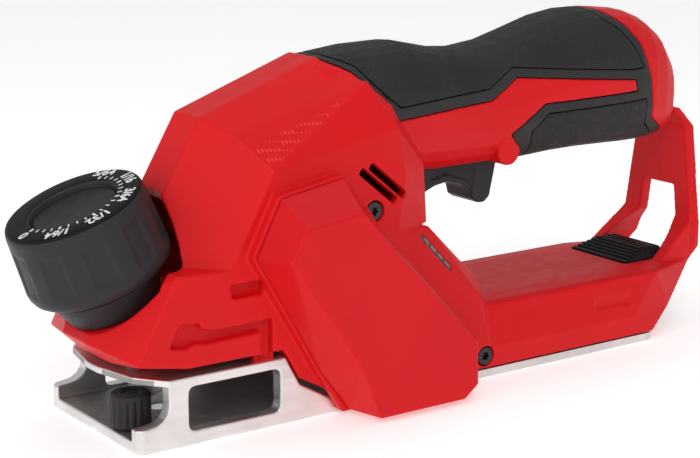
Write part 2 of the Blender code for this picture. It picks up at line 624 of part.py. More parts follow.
def build_cutter():
    """Drum on its shaft, with two blades, each held by a wedge and two screws."""
    drum = rod_y("cutter_drum", CUTTER, -CUT_HALF, CUT_HALF, DRUM_RADIUS, 48, ALUMINIUM)
    add(drum, rod_y("shaft", CUTTER, -28.9, SHAFT_END, 2.95, 20))
    for i, turn in enumerate((math.radians(20), math.radians(200)), 1):
        def place(u, v):
            return (CUTTER[0] + u * math.cos(turn) - v * math.sin(turn),
                    CUTTER[1] + u * math.sin(turn) + v * math.cos(turn))

        cut(drum, prism_y("slot", [place(*p) for p in rectangle(8.0, 22, -3.6, 3.2)], -40, 40))
        blade = [(10.4, -3.2), (CUT_RADIUS - 0.35, -3.2), (CUT_RADIUS - 1.2, -2.1), (10.4, -2.1)]
        prism_y(f"blade_{i}", [place(*p) for p in blade], -CUT_HALF, CUT_HALF, STEEL)
        wedge = [(8.4, -1.75), (17.1, -1.75), (16.6, 2.85), (8.4, 2.85)]
        gib = prism_y(f"blade_clamp_{i}", [place(*p) for p in wedge], -24.6, 24.6, ALUMINIUM)
        for j, y in enumerate((-15.0, 15.0), 1):
            ends = [place(12.6, v) for v in (-3.0, 4.0, -1.6, 2.7)]
            points = [(x, y, z) for x, z in ends]
            cut(gib, rod("screw_way", points[0], points[1], 2.1, 16))
            screw = rod(f"clamp_screw_{i}{j}", points[2], points[3], 1.75, 12, BLACK_STEEL)
            set_origin(screw, (CUTTER[0], 0, CUTTER[1]))
        set_origin(bpy.data.objects[f"blade_{i}"], (CUTTER[0], 0, CUTTER[1]))
        set_origin(gib, (CUTTER[0], 0, CUTTER[1]))
    set_origin(drum, (CUTTER[0], 0, CUTTER[1]))
    ring_y("drum_bearing_left", CUTTER, 26.2, 31.0, 3.05, 7.45, 28, STEEL)
    ring_y("drum_bearing_right", CUTTER, -29.2, -25.75, 3.05, 6.45, 28, STEEL)


def build_motor():
    """Motor across the body above the cutter: stator with end windings, rotor on its shaft, fan, bearings."""
    stator = [(12.2, -16), (STATOR_RADIUS, -16), (STATOR_RADIUS, 8), (12.2, 8)]
    lathe("motor_stator", (MOTOR[0], 0, MOTOR[1]), (0, 1, 0), stator, 36, STEEL)
    for name, start in (("motor_winding_left", 8 + GAP), ("motor_winding_right", -20.5)):
        ring_y(name, MOTOR, start, start + 4.1, 12.6, 18.6, 32, COPPER)
    rotor = rod_y("motor_rotor", MOTOR, -15.5, 7.5, 11.6, 36, BLACK_STEEL)
    add(rotor, rod_y("shaft", MOTOR, -26.8, SHAFT_END, 2.95, 20))
    set_origin(rotor, (MOTOR[0], 0, MOTOR[1]))
    fan = rod_y("motor_fan", MOTOR, 14.5, 16.0, 18.5, 36, BLACK)
    add(fan, rod_y("hub", MOTOR, 14.5, 20.5, 6.0, 24))
    for k in range(9):
        angle = 2 * math.pi * k / 9
        corners = ((5, -0.1), (18, -0.03), (18, 0.06), (5, 0.1))
        tips = [polar(MOTOR, radius, angle + lead) for radius, lead in corners]
        add(fan, prism_y("vane", tips, 15.5, 20.5))
    cut(fan, rod_y("bore", MOTOR, 10, 25, 3.05, 20))
    set_origin(fan, (MOTOR[0], 0, MOTOR[1]))
    ring_y("motor_bearing_left", MOTOR, 23.6, 30.0, 3.05, 9.45, 28, STEEL)
    ring_y("motor_bearing_right", MOTOR, -27.0, -22.0, 3.05, 6.95, 28, STEEL)


def build_belt_drive():
    low, high = BELT_Y
    sizes = (("drive_pulley", MOTOR, DRIVE_RADIUS), ("driven_pulley", CUTTER, DRIVEN_RADIUS))
    for name, centre, radius in sizes:
        width = high - low
        profile = [(3.05, 0), (radius + 1.4, 0), (radius + 1.4, 0.7), (radius, 0.7), (radius, width - 0.7),
                   (radius + 1.4, width - 0.7), (radius + 1.4, width), (3.05, width)]
        pulley = lathe(name, (centre[0], low, centre[1]), (0, 1, 0), profile, 28, GREY)
        set_origin(pulley, (centre[0], 0, centre[1]))
    outer = belt_loop(2.5)
    belt = prism_y("drive_belt", outer, low + 1.0, high - 1.0, BELT)
    cut(belt, prism_y("belt_inside", belt_loop(GAP), low - 1, high + 1))


def belt_loop(lift):
    """A loop of tangents and arcs round both pulleys, lifted off their rims."""
    delta = Vector(MOTOR) - Vector(CUTTER)
    heading = math.atan2(delta.y, delta.x)
    wrap = math.acos((DRIVEN_RADIUS - DRIVE_RADIUS) / delta.length)
    loop = []
    for centre, radius, start, span in ((MOTOR, DRIVE_RADIUS, heading - wrap, 2 * wrap),
                                        (CUTTER, DRIVEN_RADIUS, heading + wrap, 2 * (math.pi - wrap))):
        loop += [polar(centre, radius + lift, start + span * k / 14) for k in range(15)]
    return loop


def build_chip_path():
    """A curved guard over the drum and the plate that turns chips up out of the mouth."""
    arc = [math.radians(a) for a in range(28, 171, 11)]
    outline = [polar(CUTTER, 22.0, a) for a in arc] + [polar(CUTTER, 20.2, a) for a in reversed(arc)]
    prism_y("chip_guard", outline, -25.0, 25.0, BLACK)
    plate = [(54.3, 9.4), (69.3, 21.7), (70.2, 20.5), (55.2, 8.2)]
    prism_y("chip_deflector", plate, -24.8, 24.8, GREY)


# ---- trigger and electronics ----
def build_trigger():
    bow = [(0.6, 79), (-0.6, 62.6), (-5.6, 64.6), (-11.3, 65.5), (-17, 64.2), (-21.6, 61.4), (-22.6, 57.8),
           (-25, 56.3), (-27.8, 56.2), (-30.2, 58.2), (-32.9, 70), (-33, 79)]
    trigger = prism_y("trigger", bow, -7.4, 7.4, NYLON)
    set_origin(trigger, TRIGGER_PIVOT)
    coil("trigger_spring", (-24, 0, 79.9), (0, 0, 1), 3.0, 0.4, 3, 1.3, STEEL)
    box("switch_module", (-31, -7.6, 90.5), (-4, 7.6, 102), BLACK)
    box("control_board", (22, -15, 87.0), (60, 15, 88.6), BOARD)
    lens = box("gauge_lens", (-8.1, -1.3, -1.2), (8.1, 1.3, 1.6), LENS)
    place_on_gauge(lens)
    board = box("gauge_board", (-7.8, -1.2, -3.2), (7.8, 1.2, -1.55), BOARD)
    place_on_gauge(board)


def build_battery():
    """Sliding pack with its ribbed, sprung release latch, and the terminals it plugs into."""
    side_view = [(-24, 5.8), (-24, 22.7), (-115.8, 22.7), (-93.8, 5.8)]
    pack = prism_y("battery_pack", side_view, -16.5, 16.5, BLACK)
    cut(pack, box("latch_pocket", (-112.5, -15.3, 19.0), (-89.9, 15.3, 40)))
    cut(pack, box("socket", (-40, -9, 11), (-10, 9, 19)))
    foot = [(x, y, z) for x in (-111.8, -90.6) for y in (-14.9, 14.9) for z in (22.6, 27.9)]
    head = [(-110.5, -12.2, 32.6), (-110.5, 12.2, 32.6), (-101.5, -12.2, 33.2), (-101.5, 12.2, 33.2)]
    latch = hull("battery_latch", foot + head)
    latch.data.materials.append(material(BLACK))
    cut(latch, box("spring_pocket", (-105.5, -4.5, 20), (-96.5, 4.5, 26.2)))
    for k in range(3):
        x = -102.8 - 3 * k
        cut(latch, box("rib", (x - 0.7, -20, 31.6), (x + 0.7, 20, 36)))
    coil("latch_spring", (-101, 0, 19.9), (0, 0, 1), 3.2, 0.35, 2, 0.9, STEEL)
    terminals = box("battery_terminals", (-22.5, -8, 11.5), (-14.3, 8, 18.5), BLACK)
    for y in (-5, 0, 5):
        add(terminals, box("blade", (-34, y - 0.6, 12.5), (-20, y + 0.6, 17.5)))


def main():
    clear_scene()
    build_housing()
    build_cover()
    build_rear_shoe()
    build_front_shoe()
    build_depth_knob()
    build_fence_lock()
    build_cutter()
    build_motor()
    build_belt_drive()
    build_chip_path()
    build_trigger()
    build_battery()


main()
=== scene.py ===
"""Looks for the cordless hand planer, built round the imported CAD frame.

Lengths are in millimetres until a mesh is made. Shells that show moulded edges start from copies of the
CAD nodes, get their recesses and ribs, and are then remeshed and smoothed so that every edge is rounded.
"""
import json
import math

import bmesh
import bpy
from mathutils import Matrix, Vector


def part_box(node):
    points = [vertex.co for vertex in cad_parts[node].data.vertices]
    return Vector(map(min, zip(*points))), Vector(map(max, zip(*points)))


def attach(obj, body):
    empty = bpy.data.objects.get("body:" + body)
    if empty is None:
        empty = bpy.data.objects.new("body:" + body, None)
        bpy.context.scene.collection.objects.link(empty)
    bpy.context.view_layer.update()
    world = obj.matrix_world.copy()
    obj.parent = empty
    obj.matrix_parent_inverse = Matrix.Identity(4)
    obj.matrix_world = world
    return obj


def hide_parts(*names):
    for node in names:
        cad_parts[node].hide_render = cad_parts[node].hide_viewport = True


MM = 0.001
BEVEL_ANGLE = 40  # edges sharper than this many degrees get a bevel

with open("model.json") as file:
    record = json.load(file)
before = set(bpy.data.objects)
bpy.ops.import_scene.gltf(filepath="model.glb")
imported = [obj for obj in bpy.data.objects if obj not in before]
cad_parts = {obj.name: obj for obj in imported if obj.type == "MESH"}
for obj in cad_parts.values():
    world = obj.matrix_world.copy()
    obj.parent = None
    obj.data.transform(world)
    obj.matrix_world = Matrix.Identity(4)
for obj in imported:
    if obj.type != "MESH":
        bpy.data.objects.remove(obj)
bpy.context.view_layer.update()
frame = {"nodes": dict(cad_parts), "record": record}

KNOB_FOOT = Vector((121.3, 0.0, 53.1))  # centre of the knob's lower rim
KNOB_AXIS = Vector((math.sin(math.radians(22)), 0.0, math.cos(math.radians(22))))
KNOB_HEIGHT = 22.6
SPLIT_GAP = 0.16  # from the centre plane to each CAD half
GRIP_GAP = 0.2  # the same for the grips
OVERRUN = 3.0  # how far each half is run past the centre plane before it is remeshed
SEAM = 0.05  # from the centre plane to each visible half


# ---- mesh helpers ----
def new_object(name, bm):
    bmesh.ops.recalc_face_normals(bm, faces=bm.faces)
    mesh = bpy.data.meshes.new(name)
    bm.to_mesh(mesh)
    bm.free()
    obj = bpy.data.objects.new(name, mesh)
    bpy.context.scene.collection.objects.link(obj)
    return obj


def skin(name, loops):
    """A closed solid through loops of equal length, capped at both ends."""
    bm = bmesh.new()
    rings = [[bm.verts.new(Vector(p) * MM) for p in loop] for loop in loops]
    for low, high in zip(rings, rings[1:]):
        for i, corner in enumerate(low):
            j = (i + 1) % len(low)
            bm.faces.new((corner, low[j], high[j], high[i]))
    bm.faces.new(rings[0])
    bm.faces.new(rings[-1])
    return new_object(name, bm)


def prism_y(name, outline, y0, y1):
    return skin(name, [[(x, y, z) for x, z in outline] for y in (y0, y1)])


def box(name, low, high):
    corners = [(low[0], low[2]), (high[0], low[2]), (high[0], high[2]), (low[0], high[2])]
    return prism_y(name, corners, low[1], high[1])


def axis_frame(axis):
    """Two directions square to an axis; for the knob they are +Y and forwards."""
    side = Vector((0, 1, 0)) if abs(axis.y) < 0.9 else Vector((1, 0, 0))
    return side, side.cross(axis).normalized()


def turned(name, base, axis, profile, segments, radius_at=None):
    """Turn a profile of (radius, height) about an axis.

    radius_at(radius, height, angle), where it is given, says the radius at each place.
    """
    side, other = axis_frame(axis)
    bm = bmesh.new()
    rings = []
    for radius, height in profile:
        centre = base + axis * height
        if radius == 0:
            rings.append([bm.verts.new(centre * MM)])
            continue
        ring = []
        for k in range(segments):
            angle = 2 * math.pi * k / segments
            reach = radius_at(radius, height, angle) if radius_at else radius
            out = side * math.cos(angle) + other * math.sin(angle)
            ring.append(bm.verts.new((centre + out * reach) * MM))
        rings.append(ring)
    pairs = list(zip(rings, rings[1:]))
    if len(rings[0]) > 1 and len(rings[-1]) > 1:
        pairs.append((rings[-1], rings[0]))
    for low, high in pairs:
        for i in range(segments):
            j = (i + 1) % segments
            corners = (low[i % len(low)], low[j % len(low)], high[j % len(high)], high[i % len(high)])
            bm.faces.new(list(dict.fromkeys(corners)))
    return new_object(name, bm)


def softened(points, radius):
    """Replace each corner of a closed outline by a short curve."""
    steps = 4
    out = []
    for i, here in enumerate(points):
        before, after = Vector(points[i - 1]), Vector(points[(i + 1) % len(points)])
        here = Vector(here)
        reach = min(radius, (before - here).length * 0.45, (after - here).length * 0.45)
        start = here + (before - here).normalized() * reach
        end = here + (after - here).normalized() * reach
        for k in range(steps + 1):
            t = k / steps
            out.append(tuple((1 - t) ** 2 * start + 2 * t * (1 - t) * here + t * t * end))
    return out


def copy_of(name, *nodes):
    """One object with the joined meshes of CAD nodes, which it replaces."""
    bm = bmesh.new()
    for node in nodes:
        bm.from_mesh(frame["nodes"][node].data)
    bmesh.ops.remove_doubles(bm, verts=bm.verts, dist=0.004 * MM)
    piece = new_object(name, bm)
    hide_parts(*nodes)
    return piece


def combine(target, tool, operation):
    """Apply one Boolean to the target and drop the tool."""
    modifier = target.modifiers.new("combine", "BOOLEAN")
    modifier.operation = operation
    modifier.solver = "EXACT"
    modifier.object = tool
    apply_modifiers(target)
    bpy.data.objects.remove(tool, do_unlink=True)


def cut(target, *tools):
    for tool in tools:
        combine(target, tool, "DIFFERENCE")


def add(target, *tools):
    for tool in tools:
        combine(target, tool, "UNION")


def apply_modifiers(obj):
    depsgraph = bpy.context.evaluated_depsgraph_get()
    made = bpy.data.meshes.new_from_object(obj.evaluated_get(depsgraph))
    obj.modifiers.clear()
    obj.data = made


def moulded(obj, voxel, rounds):
    remesh = obj.modifiers.new("remesh", "REMESH")
    remesh.mode = "VOXEL"
    remesh.voxel_size = voxel * MM * 1
    smooth = obj.modifiers.new("smooth", "SMOOTH")
    smooth.factor = 0.5
    smooth.iterations = rounds
    apply_modifiers(obj)
    obj.data.shade_smooth()


def cross_centre(obj, side, gap):
    """Run the cut face of one half on past the centre plane, so that smoothing can't round the seam."""
    bm = bmesh.new()
    bm.from_mesh(obj.data)
    flat = [f for f in bm.faces if all(abs(v.co.y - side * gap * MM) < 0.01 * MM for v in f.verts)]
    made = bmesh.ops.extrude_face_region(bm, geom=flat)["geom"]
    moved = [v for v in made if isinstance(v, bmesh.types.BMVert)]
    bmesh.ops.translate(bm, verts=moved, vec=(0, -side * OVERRUN * MM, 0))
    bm.to_mesh(obj.data)
    bm.free()


def trim_centre(obj, side):
    """Cut a half back to a hairline from the centre plane and close the cut."""
    bm = bmesh.new()
    bm.from_mesh(obj.data)
    whole = [*bm.verts, *bm.edges, *bm.faces]
    made = bmesh.ops.bisect_plane(bm, geom=whole, dist=1e-7, plane_co=(0, side * SEAM * MM, 0),
                                  plane_no=(0, side, 0), clear_inner=True)["geom_cut"]
    rim = [e for e in made if isinstance(e, bmesh.types.BMEdge) and e.is_boundary]
    bmesh.ops.triangle_fill(bm, edges=rim, use_beauty=True)
    bmesh.ops.recalc_face_normals(bm, faces=bm.faces)
    bm.to_mesh(obj.data)
    bm.free()
    obj.data.shade_smooth()


def crisp(obj, width):
    """Small bevels on the sharp edges of a machined or simple moulded piece."""
    bevel = obj.modifiers.new("bevel", "BEVEL")
    bevel.width = width * MM
    bevel.segments = 2
    bevel.limit_method = "ANGLE"
    bevel.angle_limit = math.radians(BEVEL_ANGLE)


def dress(obj, body, look):
    """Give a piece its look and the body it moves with."""
    obj.data.materials.clear()
    obj.data.materials.append(look)
    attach(obj, body)


# ---- materials ----
class Look:
    """A Principled material with small helpers for its node graph."""

    def __init__(self, name, roughness, metallic=0.0, coat=0.0, specular=0.5):
        self.material = bpy.data.materials.new(name)
        self.material.use_nodes = True
        self.nodes = self.material.node_tree.nodes
        self.links = self.material.node_tree.links
        self.shader = self.nodes["Principled BSDF"]
        self.shader.inputs["Metallic"].default_value = metallic
        self.shader.inputs["Roughness"].default_value = roughness
        self.shader.inputs["Coat Weight"].default_value = coat
        self.shader.inputs["Specular IOR Level"].default_value = specular
        self.place = self.nodes.new("ShaderNodeTexCoord").outputs["Object"]

    def noise(self, scale, detail, stretch=None):
        node = self.nodes.new("ShaderNodeTexNoise")
        node.inputs["Scale"].default_value = scale
        node.inputs["Detail"].default_value = detail
        source = self.place
        if stretch:
            mapping = self.nodes.new("ShaderNodeMapping")
            mapping.inputs["Scale"].default_value = stretch
            self.links.new(source, mapping.inputs["Vector"])
            source = mapping.outputs["Vector"]
        self.links.new(source, node.inputs["Vector"])
        return node.outputs["Fac"]

    def cells(self, scale):
        node = self.nodes.new("ShaderNodeTexVoronoi")
        node.inputs["Scale"].default_value = scale
        self.links.new(self.place, node.inputs["Vector"])
        return node.outputs["Distance"]

    def edges(self, low, high):
        """0 on flat faces and 1 along sharp outer edges."""
        geometry = self.nodes.new("ShaderNodeNewGeometry")
        return self.remap(geometry.outputs["Pointiness"], low, high, 0.0, 1.0)

    def remap(self, value, low, high, new_low, new_high):
        node = self.nodes.new("ShaderNodeMapRange")
        numbers = {"From Min": low, "From Max": high, "To Min": new_low, "To Max": new_high}
        for name, number in numbers.items():
            node.inputs[name].default_value = number
        self.links.new(value, node.inputs["Value"])
        return node.outputs["Result"]

    def mix(self, factor, first, second):
        """Blend two colours, each given as a colour or as a socket."""
        node = self.nodes.new("ShaderNodeMix")
        node.data_type = "RGBA"
        self.links.new(factor, node.inputs["Factor"])
        for socket, colour in (("A", first), ("B", second)):
            target = [i for i in node.inputs if i.name == socket and i.type == "RGBA"][0]
            if isinstance(colour, tuple):
                target.default_value = (*colour, 1.0)
            else:
                self.links.new(colour, target)
        return [o for o in node.outputs if o.type == "RGBA"][0]

    def colour(self, socket):
        self.links.new(socket, self.shader.inputs["Base Color"])

    def roughness(self, value, low, high):
        self.links.new(self.remap(value, 0.3, 0.7, low, high), self.shader.inputs["Roughness"])

    def bump(self, *layers):
        """Stack bumps of (height, distance in mm, strength)."""
        previous = None
        for height, distance, strength in layers:
            node = self.nodes.new("ShaderNodeBump")
            node.inputs["Distance"].default_value = distance * MM
            node.inputs["Strength"].default_value = strength
            self.links.new(height, node.inputs["Height"])
            if previous:
                self.links.new(previous, node.inputs["Normal"])
            previous = node.outputs["Normal"]
        self.links.new(previous, self.shader.inputs["Normal"])


def plastic(name, base, painted_edge_highlight, rough, grain_scale, grain_height):
    """Moulded plastic: faint blotches, sharp edges made paler as a painted highlight, and a fine
    spark-eroded grain.
    """
    look = Look(name, rough, specular=0.14)
    dark = tuple(c * 0.94 for c in base)
    body = look.mix(look.remap(look.noise(35, 3), 0.35, 0.65, 0, 1), base, dark)
    # the paler colour along sharp edges is a painted highlight
    look.colour(look.mix(look.edges(0.70, 0.85), body, painted_edge_highlight))
    look.roughness(look.noise(220, 3), rough - 0.05, rough + 0.05)
    look.bump((look.noise(grain_scale, 2), grain_height, 0.6))
    return look.material


def rubber(name, base, rough, stipple):
    look = Look(name, rough, specular=0.22)
    light = tuple(c * 1.25 for c in base)
    look.colour(look.mix(look.remap(look.noise(60, 4), 0.35, 0.65, 0, 1), base, light))
    look.roughness(look.noise(400, 2), rough - 0.08, rough + 0.08)
    if stipple:
        look.bump((look.cells(1150), 0.28, 0.9), (look.noise(2600, 2), 0.06, 0.5))
    else:
        look.bump((look.noise(2200, 2), 0.04, 0.4))
    return look.material


def metal(name, base, rough, brushed=None, cast=0.0):
    """Metal with cast pits or with fine milling lines along one direction."""
    look = Look(name, rough, metallic=1.0)
    dull = tuple(c * 0.82 for c in base)
    look.colour(look.mix(look.remap(look.noise(50, 4), 0.35, 0.7, 0, 1), base, dull))
    if brushed:
        lines = look.noise(260, 3, stretch=brushed)
        look.roughness(lines, rough - 0.08, rough + 0.12)
        look.bump((lines, 0.03, 0.35))
    else:
        look.roughness(look.noise(300, 3), rough - 0.08, rough + 0.1)
        look.bump((look.noise(900, 3), cast, 0.5))
    return look.material


# The second colour given to each plastic is its painted edge highlight.
RED = plastic("red_shell", (0.71, 0.009, 0.013), (0.84, 0.04, 0.045), 0.40, 1500, 0.035)
RED_COVER = plastic("red_cover", (0.68, 0.009, 0.014), (0.84, 0.04, 0.045), 0.38, 1500, 0.035)
PANEL = rubber("stippled_rubber", (0.022, 0.0205, 0.021), 0.62, True)
BAND = rubber("smooth_rubber", (0.026, 0.0245, 0.025), 0.52, False)
NYLON = plastic("charcoal_nylon", (0.034, 0.032, 0.035), (0.09, 0.088, 0.095), 0.42, 1300, 0.03)
KNOB_TOP = plastic("knob_face", (0.006, 0.006, 0.0065), (0.02, 0.02, 0.021), 0.5, 1500, 0.03)
SLATE = plastic("knob_dish", (0.016, 0.017, 0.019), (0.05, 0.05, 0.055), 0.36, 1200, 0.02)
BLACK = plastic("black_shell", (0.010, 0.010, 0.011), (0.04, 0.04, 0.04), 0.4, 1400, 0.03)
GREY = plastic("grey_shell", (0.30, 0.31, 0.33), (0.42, 0.43, 0.45), 0.5, 1200, 0.03)
BELT = rubber("belt_rubber", (0.012, 0.012, 0.012), 0.7, False)
MILLED = metal("milled_aluminium", (0.84, 0.83, 0.82), 0.42, brushed=(0.25, 1.0, 3.0))
CAST = metal("cast_aluminium", (0.78, 0.77, 0.75), 0.48, cast=0.06)
# A darker copy of the casting for the shoe's inside: rough cast surface with painted shade.
SHADED_CAST = metal("rough_casting_painted_shade", (0.40, 0.39, 0.38), 0.55, cast=0.10)
STEEL = metal("ground_steel", (0.52, 0.52, 0.54), 0.3, brushed=(1.0, 0.15, 1.0))
BLACK_STEEL = metal("black_steel", (0.06, 0.06, 0.065), 0.36, cast=0.02)
COPPER = metal("copper_wire", (0.60, 0.26, 0.11), 0.34, brushed=(1.0, 8.0, 1.0))


def paint():
    look = Look("white_print", 0.55)
    spots = look.remap(look.noise(900, 3), 0.3, 0.7, 0, 1)
    look.colour(look.mix(spots, (0.86, 0.86, 0.85), (0.74, 0.74, 0.73)))
    look.bump((look.noise(3000, 2), 0.01, 0.3))
    return look.material


def lens():
    look = Look("smoked_lens", 0.14, coat=0.4)
    smoke = look.remap(look.noise(120, 2), 0.4, 0.6, 0, 1)
    look.colour(look.mix(smoke, (0.055, 0.035, 0.032), (0.03, 0.02, 0.02)))
    look.bump((look.noise(500, 2), 0.01, 0.2))
    return look.material


def lamp():
    look = Look("lamp_window", 0.3, coat=0.3)
    look.colour(look.mix(look.cells(1500), (0.34, 0.26, 0.23), (0.16, 0.11, 0.10)))
    look.bump((look.cells(1500), 0.05, 0.4))
    return look.material


def board():
    look = Look("circuit_board", 0.45, coat=0.2)
    tracks = look.remap(look.noise(700, 0, stretch=(1.0, 0.12, 1.0)), 0.48, 0.52, 0, 1)
    look.colour(look.mix(tracks, (0.015, 0.16, 0.06), (0.03, 0.26, 0.10)))
    look.bump((tracks, 0.04, 0.5))
    return look.material


PAINT, LENS, LAMP, BOARD = paint(), lens(), lamp(), board()
SLOT_LOOKS = {
    "red_plastic": RED, "charcoal_rubber": BAND, "charcoal_nylon": NYLON, "black_plastic": BLACK,
    "cast_aluminium": CAST, "steel": STEEL, "black_steel": BLACK_STEEL, "copper_windings": COPPER,
    "belt_rubber": BELT, "circuit_board": BOARD, "smoked_lens": LENS, "grey_plastic": GREY,
}


def dress_cad_nodes():
    """Each CAD node gets the procedural look of its slot and small bevels."""
    for part in frame["record"]["subparts"]:
        node = frame["nodes"][part["node"]]
        node.data.materials.clear()
        node.data.materials.append(SLOT_LOOKS[part["material_slot"]])
        crisp(node, 0.15)


# ---- housing ----
# Side views of what is cut into each half: x, z.
UPPER_RECESS = [(91.5, 48.9), (79.6, 49.1), (79.6, 44.2), (90.8, 44.1)]
LOWER_SLOT = [(103.2, 36.9), (97.1, 35.3), (76.2, 35.9), (76.2, 20), (80.4, 20), (80.4, 32),
              (100.4, 31.4), (106.8, 32.4)]
NOSE_POCKET = [(109.5, 39.3), (102.6, 38.4), (101.8, 33), (107.5, 30.9), (113.6, 31.9)]
BADGE = [(-62.5, 21.9), (-80.6, 21.2), (-81.4, 15.0), (-63.3, 15.7)]
BADGE_FLOOR = [(-62.0, 22.4), (-81.1, 21.7), (-81.9, 14.5), (-62.8, 15.2)]
BADGE_DEPTH = 0.55
BADGE_CORNER = 1.2
SIDE_FACE = 30.0  # y of the nose's side face
BACKING_FACE = 24.4  # y of the inner face of what backs the recesses
RECESS_DEPTH = 3.3
ARM_EDGE = 10.5  # z above which the arm's side leans in
ARM_FACE = 29.45  # y of the arm's side at ARM_EDGE, near the badge
ARM_SLOPE = 0.21


def build_housing():
    """Both halves with the nose recesses, each backed from inside, and a blank badge on the arm."""
    recesses = (UPPER_RECESS, LOWER_SLOT, NOSE_POCKET)
    for side, node in ((1, "housing_left"), (-1, "housing_right")):
        shell = copy_of(node + "_shell", node)
        for outline in recesses:
            add(shell, prism_y("backing", widened(outline, 1.6), side * BACKING_FACE, side * 28))
        for outline in recesses:
            cut(shell, prism_y("recess", outline, side * (SIDE_FACE - RECESS_DEPTH), side * 33.2))
        cut(shell, prism_y("badge", softened(BADGE, BADGE_CORNER), side * 28.0, side * 40))
        add(shell, badge_floor(side), tail_fill(side))
        cross_centre(shell, side, SPLIT_GAP)
        moulded(shell, 0.42, 4)
        trim_centre(shell, side)
        dress(shell, "body", RED)


def tail_fill(side):
    """The housing's lower edge, run down to where the raised shoe would almost meet it."""
    outline = [(73, 27), (71.9, 24.2), (66.4, 14.3), (51.4, 6.0), (48.5, 6.2), (48.5, 8.5), (66, 27)]
    return prism_y("tail_fill", outline, side * BACKING_FACE, side * (SIDE_FACE - 0.05))


def badge_floor(side):
    """Fills the badge window again, a little below the arm's sloped face."""
    outline = softened(BADGE_FLOOR, BADGE_CORNER)
    low = [(x, side * 26.0, z) for x, z in outline]
    high = [(x, side * (ARM_FACE - (z - ARM_EDGE) * ARM_SLOPE - BADGE_DEPTH), z) for x, z in outline]
    return skin("badge_floor", [low, high])


def build_cover():
    """The belt cover, with rounded edges."""
    cover = copy_of("belt_cover_shell", "belt_cover")
    moulded(cover, 0.38, 4)
    dress(cover, "body", RED_COVER)


# ---- grip ----
# Side views of the stippled panels, run past the handle's top and bottom: x, z.
UPPER_PANEL = [(20.3, 96.6), (-20.8, 98.6), (-32.4, 105), (-86, 100.2), (-92.4, 100.5), (-88.2, 107.6),
               (-83, 113.8), (-77, 118.3), (-70, 128), (41, 128), (41, 114), (34.2, 110.7), (30.8, 106),
               (26.3, 101)]
LOWER_PANEL = [(-42.5, 60), (-42, 76.5), (-40.8, 81.2), (-47.5, 87.4), (-87, 88.2), (-94.6, 88.6),
               (-96.4, 79), (-106, 72.6), (-107, 60)]
GRIP_SEAM = 0.32


def build_grips():
    """Each side: a smooth band, with stippled panels set behind a thin seam."""
    for side, node in ((1, "grip_left"), (-1, "grip_right")):
        band = copy_of(node + "_band", node)
        inner, outer = sorted((0, side * 40))
        panels = []
        for name, outline in (("upper", UPPER_PANEL), ("lower", LOWER_PANEL)):
            panel = copy_of(f"{node}_{name}_panel", node)
            combine(panel, prism_y("window", outline, inner, outer), "INTERSECT")
            panels.append((panel, PANEL))
            cut(band, prism_y("seam", widened(outline, GRIP_SEAM), inner, outer))
        for piece, look in [*panels, (band, BAND)]:
            cross_centre(piece, side, GRIP_GAP)
            moulded(piece, 0.3, 3)
            trim_centre(piece, side)
            dress(piece, "body", look)


def widened(outline, distance):
    """Move each edge of an outline outwards."""
    area = sum(a[0] * b[1] - b[0] * a[1] for a, b in zip(outline, outline[1:] + outline[:1]))
    turn = 1 if area > 0 else -1
    moved = []
    for i, here in enumerate(outline):
        before, after = Vector(outline[i - 1]), Vector(outline[(i + 1) % len(outline)])
        first, second = (Vector(here) - before).normalized(), (after - Vector(here)).normalized()
        normals = [Vector((d.y, -d.x)) * turn for d in (first, second)]
        mitre = (normals[0] + normals[1]) / max(1 + normals[0].dot(normals[1]), 0.5)
        moved.append(tuple(Vector(here) + mitre * distance))
    return moved


# ---- depth knob ----
FLUTES = 10
FLUTE_DEPTH = 0.6
FLUTE_HALF = 0.30  # half width of a flute, as a share of the step between two
BARREL_RADIUS = 23.8
BARREL_FOOT = 1.2
BARREL_DRAFT = 1.1  # how much narrower the barrel is at its top
SCALE_TURN = math.radians(198)
SCALE_START = math.radians(82)
SCALE_TICKS = 20
LABELS = ("0", "1/64", "1/32", "3/64", "1/16", "5/64")
LABEL_SIZE = 4.9
LABEL_RADIUS = 19.1  # from the knob's axis to the middle of a label
TICK_RADIUS = 15.3  # from the knob's axis to the inner end of a tick
TICK_LENGTH = 1.5
PRINT_THICKNESS = 0.12


def fluted(radius, height, angle):
    """The barrel's radius with shallow finger flutes that have rounded ends."""
    if radius <= 20:
        return radius
    phase = (angle * FLUTES / (2 * math.pi)) % 1.0
    across = max(0.0, 1 - abs(phase - 0.5) / FLUTE_HALF)
    edge = min(1.0, across * 2.6)
    near_top = min(1.0, max(0.0, (KNOB_HEIGHT - 5.5 - height) / 1.6))
    near_foot = min(1.0, max(0.0, (height - 2.0) / 1.6))
    return radius - FLUTE_DEPTH * (3 * edge ** 2 - 2 * edge ** 3) * (near_top * near_foot)


